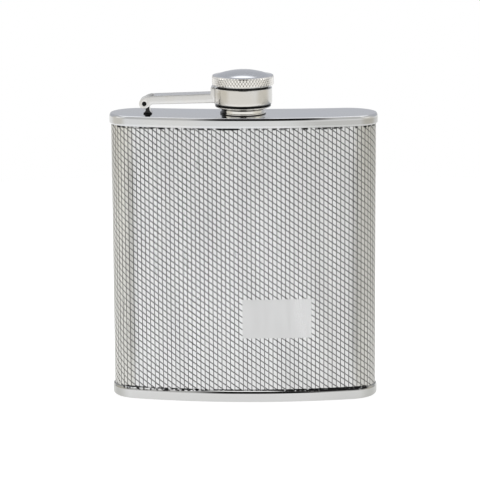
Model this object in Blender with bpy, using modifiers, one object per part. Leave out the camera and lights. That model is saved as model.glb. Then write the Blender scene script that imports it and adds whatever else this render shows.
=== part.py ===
"""Hip flask: a curved pocket flask with a captive screw cap on a hinged arm.

Metres, +Z up. The origin is the middle of the underside, at the centre of the flask's box.
The flask is wide along X. Its front bulges towards -Y, and its hollow back faces +Y.
Heights of the neck and the cap are measured from the top cover's flat face.
"""

import math

import bmesh
import bpy
from mathutils import Matrix

MM = 0.001
TINY = 0.001 * MM
GAP = 0.3 * MM  # left between pieces that touch on the real flask
PIN_PLAY = 0.1 * MM  # between the hinge pin and its holes

# The outline of the covers: a front arc, two round ends and a hollow back arc
WIDTH = 94.0 * MM
DEPTH = 23.0 * MM  # from the middle of the front to the middle of the back
FRONT_RADIUS = 157.0 * MM
END_RADIUS = 10.6 * MM
ARC_STEPS = 16
END_STEPS = 14

# The shell
COVER_TOP = 101.0 * MM
TOP_SKIRT = 3.6 * MM
BASE_SKIRT = 4.2 * MM
COVER_SHEET = 0.5 * MM
SKIRT_SHEET = 0.4 * MM
COVER_EDGE = 1.2 * MM
SKIRT_LIP = 0.36 * MM
SLEEVE_INSET = 0.65 * MM
SLEEVE_SHEET = 0.5 * MM

# The neck, above the top cover's face
BORE_RADIUS = 5.6 * MM
SPOUT_RADIUS = 6.3 * MM
SPOUT_CREST = 6.85 * MM
SPOUT_TOP = 9.6 * MM
SPOUT_FLANGE = 8.0 * MM
COLLAR_RADIUS = 7.5 * MM
COLLAR_FOOT_RADIUS = 8.0 * MM
COLLAR_TOP = 1.7 * MM
THREAD_PITCH = 1.25 * MM
THREAD_TURNS = 4
THREAD_START = 3.4 * MM
THREAD_STEPS = 24  # to each turn

# The cap, above the top cover's face
INSERT_BORE = 7.95 * MM
INSERT_CREST = 7.45 * MM
INSERT_RADIUS = 8.6 * MM
INSERT_LOW = 2.0 * MM
INSERT_TOP = 11.7 * MM
INSERT_WEB = 0.5 * MM
LIP_RADIUS = 9.8 * MM
LIP_TOP = 2.8 * MM
LINER_RADIUS = 7.3 * MM
LINER_THICKNESS = 1.0 * MM
HEAD_RADIUS = 10.75 * MM
HEAD_LOW = 10.0 * MM
BAND_TOP = 13.4 * MM
DOME_RADIUS = 9.6 * MM
DOME_LOW = 13.45 * MM
DOME_APEX = 15.25 * MM
HEAD_SHEET = 0.6 * MM
DOME_STEPS = 5

# The captive ring, above the top cover's face
RING_RADIUS = 10.2 * MM
RING_BORE = 8.9 * MM
RING_LOW = 3.1 * MM
RING_TOP = 9.2 * MM
RING_FILLET = 1.0 * MM

# The arm and its hinge
PIN_X = -34.25 * MM
PIN_HEIGHT = 3.75 * MM  # above the top cover's face
PIN_RADIUS = 0.65 * MM
PIN_LENGTH = 6.4 * MM
ARM_WIDTH = 7.0 * MM
ARM_WALL = 0.9 * MM
ARM_WEB = 0.7 * MM
EAR_RADIUS = 1.8 * MM
SLOT_END_X = -31.0 * MM  # the slot between the ears stops here
CHANNEL_END_X = -12.6 * MM
ARM_UNDERSIDE = (3.6 * MM, 4.1 * MM)  # above the cover, at the slot's end and at the ring
ARM_TOPSIDE = (6.55 * MM, 7.2 * MM)
TAB_X = -11.1 * MM
TAB_TOP = 9.5 * MM

# The post
POST_X = -33.2 * MM
POST_WIDTH = 4.0 * MM
POST_FOOT = 3.0 * MM
POST_NECK = 1.4 * MM
POST_EYE = 1.35 * MM
RIVET_RADIUS = 1.0 * MM
RIVET_HEAD = 1.9 * MM
RIVET_END = 2.3 * MM  # below the top cover's face
WASHER_RADIUS = 3.2 * MM
WASHER_THICKNESS = 0.6 * MM

PIN_Z = COVER_TOP + PIN_HEIGHT
ROUND_STEPS = 36
SMALL_STEPS = 18


def clear_scene():
    for thing in list(bpy.data.objects):
        bpy.data.objects.remove(thing, do_unlink=True)


def collection(name):
    group = bpy.data.collections.new(name)
    bpy.context.scene.collection.children.link(group)
    return group


def material(name, colour, roughness, metallic):
    surface = bpy.data.materials.new(name)
    surface.use_nodes = True
    shader = surface.node_tree.nodes["Principled BSDF"]
    shader.inputs["Base Color"].default_value = (*colour, 1)
    shader.inputs["Roughness"].default_value = roughness
    shader.inputs["Metallic"].default_value = metallic
    surface.diffuse_color = (*colour, 1)
    return surface


def steel(name, roughness=0.12):
    return material(name, (0.78, 0.78, 0.76), roughness, 1.0)


def add_part(mesh, surface, parent=None, location=(0, 0, 0)):
    part = bpy.data.objects.new(mesh.name, mesh)
    part.location = location
    part.parent = parent
    mesh.materials.append(surface)
    mesh.shade_smooth()
    mesh.set_sharp_from_angle(angle=math.radians(35))
    parts.objects.link(part)
    return part


def add_cutter(mesh, location=(0, 0, 0)):
    cutter = bpy.data.objects.new(mesh.name, mesh)
    cutter.location = location
    cutter.hide_render = True
    cutter.display_type = "WIRE"
    cutters.objects.link(cutter)
    return cutter


def add_pivot(name, location, parent=None):
    """An empty on a joint's axis, which carries the pieces that move about it."""
    pivot = bpy.data.objects.new(name, None)
    pivot.location = location
    pivot.parent = parent
    parts.objects.link(pivot)
    return pivot


def combine(part, cutter, operation="DIFFERENCE"):
    boolean = part.modifiers.new(cutter.name, "BOOLEAN")
    boolean.object = cutter
    boolean.operation = operation
    boolean.solver = "EXACT"


def arc(centre, radius, start, end, steps):
    """Points on an arc, its start included and its end left out."""
    points = []
    for i in range(steps):
        angle = start + (end - start) * i / steps
        points.append((centre[0] + radius * math.cos(angle), centre[1] + radius * math.sin(angle)))
    return points


def body_outline(inset=0.0):
    """The flask seen from above, set inwards from the covers' outside by inset."""
    front_y = FRONT_RADIUS - DEPTH / 2
    end_x = WIDTH / 2 - END_RADIUS
    end_y = front_y - math.sqrt((FRONT_RADIUS - END_RADIUS) ** 2 - end_x**2)
    rise = end_y - DEPTH / 2
    back_radius = (end_x**2 + rise**2 - END_RADIUS**2) / (2 * (END_RADIUS + rise))
    back_y = DEPTH / 2 + back_radius
    middle_y = (end_y + END_RADIUS - DEPTH / 2) / 2
    front_turn = math.asin(end_x / (FRONT_RADIUS - END_RADIUS))
    back_turn = math.asin(end_x / (back_radius + END_RADIUS))
    down, half = -math.pi / 2, math.pi
    end = END_RADIUS - inset
    points = arc((0, front_y), FRONT_RADIUS - inset, down - front_turn, down + front_turn, ARC_STEPS)
    points += arc((end_x, end_y), end, down + front_turn, half / 2 + back_turn, END_STEPS)
    points += arc((0, back_y), back_radius + inset, down + back_turn, down - back_turn, ARC_STEPS)
    points += arc((-end_x, end_y), end, half / 2 - back_turn, 3 * half / 2 - front_turn, END_STEPS)
    return [(x, y - middle_y) for x, y in points]


def outline_mesh(name, outlines, low, high):
    """A flat outline, with any further outlines as holes, filled from height low to height high."""
    curve = bpy.data.curves.new(name, "CURVE")
    curve.dimensions = "2D"
    curve.fill_mode = "BOTH"
    curve.extrude = (high - low) / 2
    for outline in outlines:
        spline = curve.splines.new("POLY")
        spline.points.add(len(outline) - 1)
        spline.use_cyclic_u = True
        for point, (x, y) in zip(spline.points, outline):
            point.co = (x, y, 0, 1)
    source = bpy.data.objects.new(name, curve)
    cutters.objects.link(source)
    evaluated = source.evaluated_get(bpy.context.evaluated_depsgraph_get())
    mesh = bpy.data.meshes.new_from_object(evaluated)
    bpy.data.objects.remove(source)
    weld(mesh, one_face_caps=len(outlines) == 1)
    mesh.transform(Matrix.Translation((0, 0, (low + high) / 2)))
    mesh.name = name
    return mesh


def weld(mesh, one_face_caps):
    cage = bmesh.new()
    cage.from_mesh(mesh)
    bmesh.ops.remove_doubles(cage, verts=cage.verts, dist=TINY)
    if one_face_caps:
        bmesh.ops.dissolve_limit(cage, angle_limit=0.001, verts=cage.verts, edges=cage.edges)
    bmesh.ops.recalc_face_normals(cage, faces=cage.faces)
    cage.to_mesh(mesh)
    cage.free()


def side_mesh(name, outline, width):
    """An outline of (x, z) points, filled across width along Y."""
    mesh = outline_mesh(name, [outline], -width / 2, width / 2)
    mesh.transform(Matrix.Rotation(math.pi / 2, 4, "X"))
    return mesh


def round_rims(part, widths, segments=2):
    """Rounds the edges that lie at the given heights of the mesh, each to its own radius."""
    widest = max(widths.values())
    mesh = part.data
    weights = mesh.attributes.new("bevel_weight_edge", "FLOAT", "EDGE")
    for edge in mesh.edges:
        heights = [mesh.vertices[i].co.z for i in edge.vertices]
        for height, width in widths.items():
            if all(abs(z - height) < TINY for z in heights):
                weights.data[edge.index].value = width / widest
    bevel = part.modifiers.new("rounded_rims", "BEVEL")
    bevel.limit_method = "WEIGHT"
    bevel.width = widest
    bevel.segments = segments


def turned_mesh(name, profile, closed):
    """The half section of a turned piece: (radius, height) points, down its outer side."""
    mesh = bpy.data.meshes.new(name)
    count = len(profile)
    edges = [(i, (i + 1) % count) for i in range(count if closed else count - 1)]
    mesh.from_pydata([(r, 0, z) for r, z in profile], edges, [])
    return mesh


def turn(part, steps=ROUND_STEPS):
    screw = part.modifiers.new("turned", "SCREW")
    screw.axis = "Z"
    screw.steps = steps
    screw.render_steps = steps
    screw.use_merge_vertices = True
    screw.merge_threshold = TINY
    return screw


def cylinder_mesh(name, radius, low, high, steps=ROUND_STEPS):
    mesh = bpy.data.meshes.new(name)
    cage = bmesh.new()
    middle = Matrix.Translation((0, 0, (low + high) / 2))
    bmesh.ops.create_cone(
        cage, cap_ends=True, segments=steps, radius1=radius, radius2=radius, depth=high - low, matrix=middle
    )
    cage.to_mesh(mesh)
    cage.free()
    return mesh


def cross_cylinder_mesh(name, radius, length, steps=SMALL_STEPS):
    """A cylinder along Y, about its own middle."""
    mesh = cylinder_mesh(name, radius, -length / 2, length / 2, steps)
    mesh.transform(Matrix.Rotation(math.pi / 2, 4, "X"))
    return mesh


def thread_ridge(name, root, crest):
    """A helical ridge from root to crest, closed at both ends, to be joined to a tube."""
    sunk = root + (root - crest) * 0.3
    foot, tip = THREAD_PITCH * 0.42, THREAD_PITCH * 0.12
    profile = [(sunk, foot), (crest, tip), (crest, -tip), (sunk, -foot)]
    if crest < root:
        profile.reverse()
    wire = bpy.data.objects.new(name, turned_mesh(name, profile, closed=True))
    cutters.objects.link(wire)
    screw = turn(wire, THREAD_STEPS)
    screw.screw_offset = THREAD_PITCH
    screw.iterations = THREAD_TURNS
    evaluated = wire.evaluated_get(bpy.context.evaluated_depsgraph_get())
    mesh = bpy.data.meshes.new_from_object(evaluated)
    bpy.data.objects.remove(wire)
    cage = bmesh.new()
    cage.from_mesh(mesh)
    bmesh.ops.remove_doubles(cage, verts=cage.verts, dist=TINY)
    bmesh.ops.holes_fill(cage, edges=cage.edges, sides=len(profile))
    bmesh.ops.recalc_face_normals(cage, faces=cage.faces)
    cage.to_mesh(mesh)
    cage.free()
    mesh.name = name
    return mesh


def body_sleeve():
    outlines = [body_outline(SLEEVE_INSET), body_outline(SLEEVE_INSET + SLEEVE_SHEET)]
    low, high = COVER_SHEET + GAP, COVER_TOP - COVER_SHEET - GAP
    add_part(outline_mesh("body_sleeve", outlines, low, high), steel("sleeve_steel", 0.3))


def top_cover():
    low = COVER_TOP - TOP_SKIRT
    mesh = outline_mesh("top_cover", [body_outline()], low, COVER_TOP)
    cover = add_part(mesh, steel("top_cover_steel"))
    round_rims(cover, {COVER_TOP: COVER_EDGE, low: SKIRT_LIP / 2}, 3)
    inside_top = COVER_TOP - COVER_SHEET
    inside = outline_mesh("top_cover_inside", [body_outline(SKIRT_SHEET)], low - TOP_SKIRT, inside_top)
    inside_cutter = add_cutter(inside)
    round_rims(inside_cutter, {inside_top: COVER_EDGE - SKIRT_SHEET})
    combine(cover, inside_cutter)
    neck = cylinder_mesh("neck_hole", SPOUT_RADIUS + GAP, low, COVER_TOP + TOP_SKIRT)
    combine(cover, add_cutter(neck))
    rivet = cylinder_mesh("rivet_hole", RIVET_RADIUS + GAP, low, COVER_TOP + TOP_SKIRT, SMALL_STEPS)
    combine(cover, add_cutter(rivet, (POST_X, 0, 0)))


def base_cover():
    cover = add_part(outline_mesh("base_cover", [body_outline()], 0, BASE_SKIRT), steel("base_cover_steel"))
    round_rims(cover, {0: COVER_EDGE, BASE_SKIRT: SKIRT_LIP}, 3)
    outline = body_outline(SKIRT_SHEET)
    inside = add_cutter(outline_mesh("base_cover_inside", [outline], COVER_SHEET, 2 * BASE_SKIRT))
    round_rims(inside, {COVER_SHEET: COVER_EDGE - SKIRT_SHEET})
    combine(cover, inside)


def spout():
    chamfer = 0.4 * MM
    under = -COVER_SHEET - GAP
    flange_low = under - 0.6 * MM
    profile = [
        (BORE_RADIUS, SPOUT_TOP),
        (SPOUT_RADIUS - chamfer, SPOUT_TOP),
        (SPOUT_RADIUS, SPOUT_TOP - chamfer),
        (SPOUT_RADIUS, under),
        (SPOUT_FLANGE, under),
        (SPOUT_FLANGE, flange_low),
        (BORE_RADIUS, flange_low),
    ]
    place = (0, 0, COVER_TOP)
    tube = add_part(turned_mesh("spout", profile, closed=True), steel("spout_steel"), location=place)
    turn(tube)
    ridge = thread_ridge("spout_thread", SPOUT_RADIUS, SPOUT_CREST)
    combine(tube, add_cutter(ridge, (0, 0, COVER_TOP + THREAD_START)), "UNION")


def neck_collar():
    inside = SPOUT_RADIUS + GAP
    step = GAP + 0.35 * MM
    edge = 0.25 * MM
    profile = [
        (inside, COLLAR_TOP),
        (COLLAR_RADIUS - edge, COLLAR_TOP),
        (COLLAR_RADIUS, COLLAR_TOP - edge),
        (COLLAR_RADIUS, step),
        (COLLAR_FOOT_RADIUS, step),
        (COLLAR_FOOT_RADIUS, GAP),
        (inside, GAP),
    ]
    place = (0, 0, COVER_TOP)
    turn(add_part(turned_mesh("neck_collar", profile, closed=True), steel("collar_steel"), location=place))


def pivot_post():
    """A flat tongue whose eye holds the hinge pin, with a rivet stem through the top cover."""
    eye_x, eye_z = PIN_X - POST_X, PIN_HEIGHT
    foot, neck = POST_FOOT / 2, POST_NECK / 2
    neck_low, neck_high = 1.0 * MM, 2.2 * MM
    outline = [(-foot, GAP), (foot, GAP), (foot, GAP + 0.25 * MM), (neck, neck_low), (neck - 0.1 * MM, neck_high)]
    outline += arc((eye_x, eye_z), POST_EYE, math.radians(-25), math.radians(230), SMALL_STEPS)
    outline += [(-neck - 0.1 * MM, neck_high), (-neck, neck_low), (-foot, GAP + 0.25 * MM)]
    place = (POST_X, 0, COVER_TOP)
    post = add_part(side_mesh("pivot_post", outline, POST_WIDTH), steel("post_steel"), location=place)
    stem = cylinder_mesh("rivet_stem", RIVET_RADIUS, -RIVET_END, GAP * 2, SMALL_STEPS)
    combine(post, add_cutter(stem, place), "UNION")
    head_high = -COVER_SHEET - WASHER_THICKNESS - 2 * GAP
    head = cylinder_mesh("rivet_head", RIVET_HEAD, -RIVET_END, head_high, SMALL_STEPS)
    combine(post, add_cutter(head, place), "UNION")
    hole = cross_cylinder_mesh("post_pin_hole", PIN_RADIUS + PIN_PLAY, 2 * POST_WIDTH)
    combine(post, add_cutter(hole, (PIN_X, 0, PIN_Z)))


def post_washer():
    """Backs the rivet under the top cover."""
    high = -COVER_SHEET - GAP
    inside = RIVET_RADIUS + GAP
    low = high - WASHER_THICKNESS
    profile = [(inside, high), (WASHER_RADIUS, high), (WASHER_RADIUS, low), (inside, low)]
    place = (POST_X, 0, COVER_TOP)
    washer = add_part(turned_mesh("post_washer", profile, closed=True), steel("washer_steel"), location=place)
    turn(washer, SMALL_STEPS)


def hinge_pin():
    mesh = cross_cylinder_mesh("hinge_pin", PIN_RADIUS, PIN_LENGTH)
    add_part(mesh, steel("pin_steel"), location=(PIN_X, 0, PIN_Z))


def captive_arm(pivot):
    """A channel with two ears on the pin, a slot between them and an upright tab on the ring."""
    slot, tab = SLOT_END_X - PIN_X, TAB_X - PIN_X
    low_left, low_right = (height - PIN_HEIGHT for height in ARM_UNDERSIDE)
    high_left, high_right = (height - PIN_HEIGHT for height in ARM_TOPSIDE)
    end = -PIN_X - RING_BORE
    outline = [(end, low_right), (end, TAB_TOP - PIN_HEIGHT), (tab, TAB_TOP - PIN_HEIGHT)]
    outline += [(tab, high_right), (slot, high_left), (0.45 * slot, high_left - 0.1 * MM)]
    outline += arc((0, 0), EAR_RADIUS, math.radians(115), math.radians(300), SMALL_STEPS)
    outline += [(0.55 * slot, -0.9 * MM), (0.8 * slot, low_left)]
    arm = add_part(side_mesh("captive_arm", outline, ARM_WIDTH), steel("arm_steel"), pivot)
    inner = ARM_WIDTH - 2 * ARM_WALL
    deep = 4 * EAR_RADIUS
    channel_end = CHANNEL_END_X - PIN_X
    channel = [(-deep, -deep), (channel_end, -deep), (channel_end, high_right - ARM_WEB)]
    channel += [(slot, high_left - ARM_WEB), (slot, deep), (-deep, deep)]
    place = (PIN_X, 0, PIN_Z)
    combine(arm, add_cutter(side_mesh("arm_channel", channel, inner), place))
    seat = cylinder_mesh("ring_seat", RING_RADIUS + GAP, 0, 2 * RING_TOP)
    combine(arm, add_cutter(seat, (0, 0, COVER_TOP)))
    hole = cross_cylinder_mesh("ear_pin_hole", PIN_RADIUS + PIN_PLAY, 2 * ARM_WIDTH)
    combine(arm, add_cutter(hole, place))


def captive_ring(pivot):
    """The cap turns in this ring, held between the cap's head and the insert's lip."""
    edge = 0.3 * MM
    corner = (RING_RADIUS - RING_FILLET, RING_LOW + RING_FILLET)
    profile = [(RING_BORE, RING_TOP), (RING_RADIUS - edge, RING_TOP), (RING_RADIUS, RING_TOP - edge)]
    profile += arc(corner, RING_FILLET, 0, -math.pi / 2, 4)
    profile += [(corner[0], RING_LOW), (RING_BORE, RING_LOW)]
    place = (-PIN_X, 0, -PIN_HEIGHT)
    turn(add_part(turned_mesh("captive_ring", profile, closed=True), steel("ring_steel"), pivot, place))


def dome_points(radius, low, apex, steps):
    """A shallow dome's half section from its apex on the axis out to its edge."""
    rise = apex - low
    sphere = (radius**2 + rise**2) / (2 * rise)
    span = math.asin(radius / sphere)
    angles = [span * i / steps for i in range(steps + 1)]
    return [(sphere * math.sin(a), apex - sphere * (1 - math.cos(a))) for a in angles]


def cap_head(axis):
    edge = 0.3 * MM
    inside = HEAD_RADIUS - HEAD_SHEET
    outer = dome_points(DOME_RADIUS, DOME_LOW, DOME_APEX, DOME_STEPS)
    outer += [(HEAD_RADIUS, BAND_TOP), (HEAD_RADIUS, HEAD_LOW + edge), (HEAD_RADIUS - edge, HEAD_LOW)]
    inner = dome_points(inside, DOME_LOW - HEAD_SHEET, DOME_APEX - HEAD_SHEET, DOME_STEPS)
    profile = outer + [(inside, HEAD_LOW)] + inner[::-1]
    turn(add_part(turned_mesh("cap_head", profile, closed=False), steel("head_steel"), axis))


def cap_core(axis):
    """Fills the head and grips the threaded insert's top."""
    outside = HEAD_RADIUS - HEAD_SHEET - GAP
    high = DOME_LOW - HEAD_SHEET - GAP
    inside = INSERT_RADIUS + GAP
    roof, low = INSERT_TOP + GAP, HEAD_LOW + GAP
    profile = [(0, high), (outside, high), (outside, low), (inside, low), (inside, roof), (0, roof)]
    plastic = material("core_plastic", (0.16, 0.16, 0.17), 0.5, 0.0)
    turn(add_part(turned_mesh("cap_core", profile, closed=False), plastic, axis))


def cap_insert(axis):
    """The threaded sleeve through the ring, with the lip that keeps the ring on."""
    edge = 0.3 * MM
    taper = 0.4 * MM
    roof = INSERT_TOP - INSERT_WEB
    profile = [
        (0, INSERT_TOP),
        (INSERT_RADIUS - edge, INSERT_TOP),
        (INSERT_RADIUS, INSERT_TOP - edge),
        (INSERT_RADIUS, LIP_TOP),
        (LIP_RADIUS - edge / 2, LIP_TOP),
        (LIP_RADIUS, LIP_TOP - edge),
        (INSERT_BORE + taper, INSERT_LOW),
        (INSERT_BORE, INSERT_LOW),
        (INSERT_BORE, roof),
        (0, roof),
    ]
    insert = add_part(turned_mesh("cap_insert", profile, closed=False), steel("insert_steel"), axis)
    turn(insert)
    ridge = thread_ridge("insert_thread", INSERT_BORE, INSERT_CREST)
    combine(insert, add_cutter(ridge, (0, 0, COVER_TOP + THREAD_START)), "UNION")


def cap_liner(axis):
    """The soft disc that seals on the spout's rim."""
    low = SPOUT_TOP + GAP
    high = low + LINER_THICKNESS
    profile = [(0, high), (LINER_RADIUS, high), (LINER_RADIUS, low), (0, low)]
    rubber = material("liner_rubber", (0.72, 0.70, 0.66), 0.6, 0.0)
    turn(add_part(turned_mesh("cap_liner", profile, closed=False), rubber, axis))


def build():
    body_sleeve()
    top_cover()
    base_cover()
    spout()
    neck_collar()
    pivot_post()
    post_washer()
    hinge_pin()
    arm_pivot = add_pivot("arm_pivot", (PIN_X, 0, PIN_Z))
    captive_arm(arm_pivot)
    captive_ring(arm_pivot)
    cap_axis = add_pivot("cap_axis", (-PIN_X, 0, -PIN_HEIGHT), arm_pivot)
    cap_head(cap_axis)
    cap_core(cap_axis)
    cap_insert(cap_axis)
    cap_liner(cap_axis)


clear_scene()
parts = collection("hip_flask")
cutters = collection("cutters")
build()
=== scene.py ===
import math

import bmesh
import bpy
from bpy.props import FloatProperty, FloatVectorProperty, IntProperty, PointerProperty
from bpy.types import NodeSocket, Operator, Panel, PropertyGroup
from mathutils import Matrix, Vector


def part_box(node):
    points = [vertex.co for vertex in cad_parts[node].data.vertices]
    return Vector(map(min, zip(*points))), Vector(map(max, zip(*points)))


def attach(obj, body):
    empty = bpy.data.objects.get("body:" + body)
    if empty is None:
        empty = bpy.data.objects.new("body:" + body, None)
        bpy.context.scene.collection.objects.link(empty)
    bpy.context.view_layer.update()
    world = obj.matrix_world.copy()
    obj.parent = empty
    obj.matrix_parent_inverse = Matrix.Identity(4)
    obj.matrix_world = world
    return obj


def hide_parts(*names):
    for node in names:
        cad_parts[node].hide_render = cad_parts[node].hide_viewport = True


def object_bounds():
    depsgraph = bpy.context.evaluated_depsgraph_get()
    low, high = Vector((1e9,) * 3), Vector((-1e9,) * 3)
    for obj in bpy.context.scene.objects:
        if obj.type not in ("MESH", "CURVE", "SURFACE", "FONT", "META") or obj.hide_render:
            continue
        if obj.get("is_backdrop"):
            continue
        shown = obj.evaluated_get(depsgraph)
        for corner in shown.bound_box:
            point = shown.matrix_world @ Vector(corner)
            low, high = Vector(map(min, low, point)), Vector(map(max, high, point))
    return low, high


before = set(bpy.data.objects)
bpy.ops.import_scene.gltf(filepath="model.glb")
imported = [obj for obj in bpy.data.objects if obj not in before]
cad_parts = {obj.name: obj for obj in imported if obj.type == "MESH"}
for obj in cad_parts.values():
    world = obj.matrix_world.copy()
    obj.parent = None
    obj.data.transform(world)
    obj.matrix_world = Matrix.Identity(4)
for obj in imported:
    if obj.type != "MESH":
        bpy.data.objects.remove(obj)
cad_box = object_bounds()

bl_info = {
    "name": "Hip flask finish",
    "version": (1, 0, 0),
    "blender": (4, 5, 0),
    "location": "View3D > Sidebar > Flask",
    "description": "Makes the visible pieces of a hip flask round its packed solids",
    "category": "Object",
}

MM = 0.001
WELD = 0.002 * MM
BORDER = 0.001 * MM
OUTLINE_STEPS = 160
ROUND_STEPS = 96
SHARP = 35
COVER_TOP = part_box("top_cover")[1].z
BASE_SKIRT_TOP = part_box("base_cover")[1].z
SLEEVE_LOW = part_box("body_sleeve")[0].z
SLEEVE_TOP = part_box("body_sleeve")[1].z
THREAD_PITCH, THREAD_TURNS, THREAD_START = 1.25 * MM, 4, COVER_TOP + 3.4 * MM

# Radii of the eased edges on turned and formed pieces
FINE, EASE, SOFT, BROAD = 0.1 * MM, 0.15 * MM, 0.25 * MM, 0.3 * MM

# Scales of the polishing marks: they run along the axis with the smallest number
BRUSHED = {
    "up": (1.0, 1.0, 0.12), "along": (0.1, 1.0, 1.0), "across": (1.0, 0.2, 1.0),
    "round": (0.3, 0.3, 1.0), "hooped": (1.0, 1.0, 4.0), "even": (1.0, 1.0, 1.0),
}

# Scales of the fine marks and the wider smears on steel, and depths of the finest grain
MARKS, SMEARS, STEEL_GRAIN, PLASTIC_GRAIN = 2600.0, 180.0, 2e-6, 4e-6

# Grid of the node trees, and the mask, first, second and output sockets of a mix
NODES_IN_COLUMN, NODE_WIDTH, NODE_HEIGHT = 8, 220, 220
MIX_SOCKETS = {"RGBA": ("067", 2), "FLOAT": ("023", 0)}

# Name, place, size and power of each light, where they aim and how flat they are
LIGHTS = (
    ("overhead_light", (0.0, 0.5, 0.9), 1.15, 1.3),
    ("left_light", (-1.1, -0.05, 0.55), 0.6, 0.25),
    ("right_light", (1.1, -0.05, 0.55), 0.6, 0.25),
)
LIGHT_AIM, LIGHT_FLATNESS = (0, 0, 0.05), 0.45

# Colours of the room that the steel reflects
BACK_WALL, FRONT_WALL = (0.575, 0.59, 0.63, 1), (0.98, 0.98, 0.97, 1)
SIDE_WALL, WHITE = (0.80, 0.775, 0.71, 1), (1, 1, 1, 1)
CARD_DARKNESS, CARD_OUTER_SHARE, SOFTBOX_GAIN = 0.98, 0.32, 0.8


def size_of(node):
    low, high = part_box(node)
    return high - low


def middle_of(node):
    low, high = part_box(node)
    return (low + high) / 2


def length(name, text, default, smallest=0.0):
    """A size in metres that shows in the sidebar."""
    return FloatProperty(
        name=name, description=text, default=default, min=smallest,
        unit="LENGTH", subtype="DISTANCE", precision=5,
    )


def number(name, text, default):
    """A plain number that shows in the sidebar."""
    return FloatProperty(name=name, description=text, default=default)


def colour(name, default):
    """A colour that shows in the sidebar."""
    return FloatVectorProperty(
        name=name, description="Colour of the " + name.lower(), default=default,
        size=3, min=0.0, max=1.0, subtype="COLOR",
    )


class FlaskShape(PropertyGroup):
    """The outline of the covers and of the sleeve, seen from above."""

    width: length("Width", "Across the covers", size_of("top_cover").x)
    depth: length("Depth", "Front to back in the middle", 23.0 * MM)
    front_radius: length("Front radius", "Of the bulging front", 157.0 * MM)
    end_radius: length("End radius", "Of the two round ends", 10.6 * MM)
    sleeve_inset: length("Sleeve inset", "From the covers' outside to the sleeve", 0.65 * MM)
    sheet: length("Sheet", "Thickness of the pressed sheet", 0.5 * MM)
    cover_edge: length("Cover edge", "Radius of the covers' pressed edges", 1.2 * MM)


class FlaskEngraving(PropertyGroup):
    """The crossing lines cut in the sleeve, with a blank panel among them."""

    column_width: length("Column width", "From one upright line to the next", 1.49 * MM)
    row_height: length("Row height", "From one slanting line to the next", 2.2 * MM)
    slant: number("Slant", "Rows that a line drops in one column", 0.48)
    line_share: number("Line share", "Line's half width by cell", 0.13)
    depth: length("Depth", "Of the cut lines", 0.1 * MM)
    panel_left: length("Panel left", "Left edge of the blank panel", -0.2 * MM, -1.0)
    panel_right: length("Panel right", "Right edge of the blank panel", 23.9 * MM)
    panel_low: length("Panel low", "Lower edge of the blank panel", 23.1 * MM)
    panel_high: length("Panel high", "Upper edge of the blank panel", 37.0 * MM)


class FlaskKnurl(PropertyGroup):
    """The diamond knurl on the cap's head."""

    columns: IntProperty(name="Columns", description="Diamonds round the head", default=60)
    row_height: length("Row height", "Height of a diamond", 1.45 * MM)
    line_share: number("Line share", "Line's half width by diamond", 0.23)
    depth: length("Depth", "Of the knurl", 0.28 * MM)
    chamfer: length("Chamfer", "Plain edge at each side of the knurl", 0.12 * MM)


class FlaskSteel(PropertyGroup):
    """Colours and polish of the flask's steel, with the colours of its painted shade and painted
    highlights.
    """

    tint: colour("Polished steel", (0.66, 0.66, 0.655))
    warm_tint: colour("Warmer patches", (0.665, 0.64, 0.60))
    cool_tint: colour("Cooler patches", (0.645, 0.65, 0.66))
    sleeve_tint: colour("Engraved sleeve", (0.75, 0.752, 0.755))
    # Painted shade: the sleeve's right half is darker.
    sleeve_shade: colour("Sleeve's right half", (0.69, 0.69, 0.685))
    # Painted shade: the sleeve's ends are darker and warmer.
    sleeve_warm: colour("Sleeve's ends", (0.53, 0.525, 0.495))
    # Painted shade on the sleeve's left end, lighter than at the right end, and lighter again higher up.
    sleeve_left: colour("Sleeve's left end, low", (0.61, 0.605, 0.575))
    sleeve_left_high: colour("Sleeve's left end, high", (0.70, 0.695, 0.66))
    panel_tint: colour("Blank panel", (0.63, 0.631, 0.63))
    # Painted shade in the cut lines and the knurl's grooves; also the second tint of the pin's painted
    # shade.
    line_tint: colour("Cut lines", (0.012, 0.012, 0.012))
    shadow_tint: colour("Dark recesses", (0.02, 0.02, 0.02))
    # Painted shade: the top skirt's right half is darker.
    skirt_shade: colour("Top skirt's right half", (0.50, 0.50, 0.49))
    base_tint: colour("Base", (0.605, 0.605, 0.60))
    # Painted shade: the base's right half is darker, and its ends darker still.
    base_shade: colour("Base's right half", (0.55, 0.55, 0.54))
    end_tint: colour("Base's ends", (0.43, 0.43, 0.41))
    # Painted light: the knurled band lighter than the dome.
    knurl_tint: colour("Knurled band", (0.90, 0.88, 0.85))
    dome_tint: colour("Dome", (0.595, 0.60, 0.615))
    # Painted highlight on the ring's left side, beside the arm.
    ring_glint: colour("Ring beside the arm", (0.93, 0.91, 0.87))
    collar_tint: colour("Neck collar", (0.80, 0.785, 0.745))
    # Painted shade: the post's faces and the insert above its lip, nearly black.
    post_tint: colour("Painted shade on the post and the insert", (0.035, 0.035, 0.035))
    polish: number("Polish", "Roughness of polished faces", 0.09)
    satin: number("Satin", "Roughness of the sleeve", 0.32)


class FlaskStage(PropertyGroup):
    """Camera, floor and light."""

    azimuth: number("Azimuth", "Degrees to the right", 2.19)
    elevation: number("Elevation", "Degrees above level", 11.39)
    roll: number("Roll", "Degrees", -0.353)
    distance: length("Distance", "From the camera to its target", 949.4 * MM)
    lens: number("Lens", "Focal length in millimetres", 199.95)
    target: FloatVectorProperty(
        name="Target", description="Where the camera looks",
        default=(-1.3 * MM, -1.4 * MM, 55.02 * MM), unit="LENGTH",
    )
    floor: colour("Floor", (0.34, 0.34, 0.34))
    floor_glow: number("Floor glow", "Light that the floor gives off", 0.84)
    floor_size: length("Floor size", "Across the floor", 0.9)


# Outlines and meshes


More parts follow.
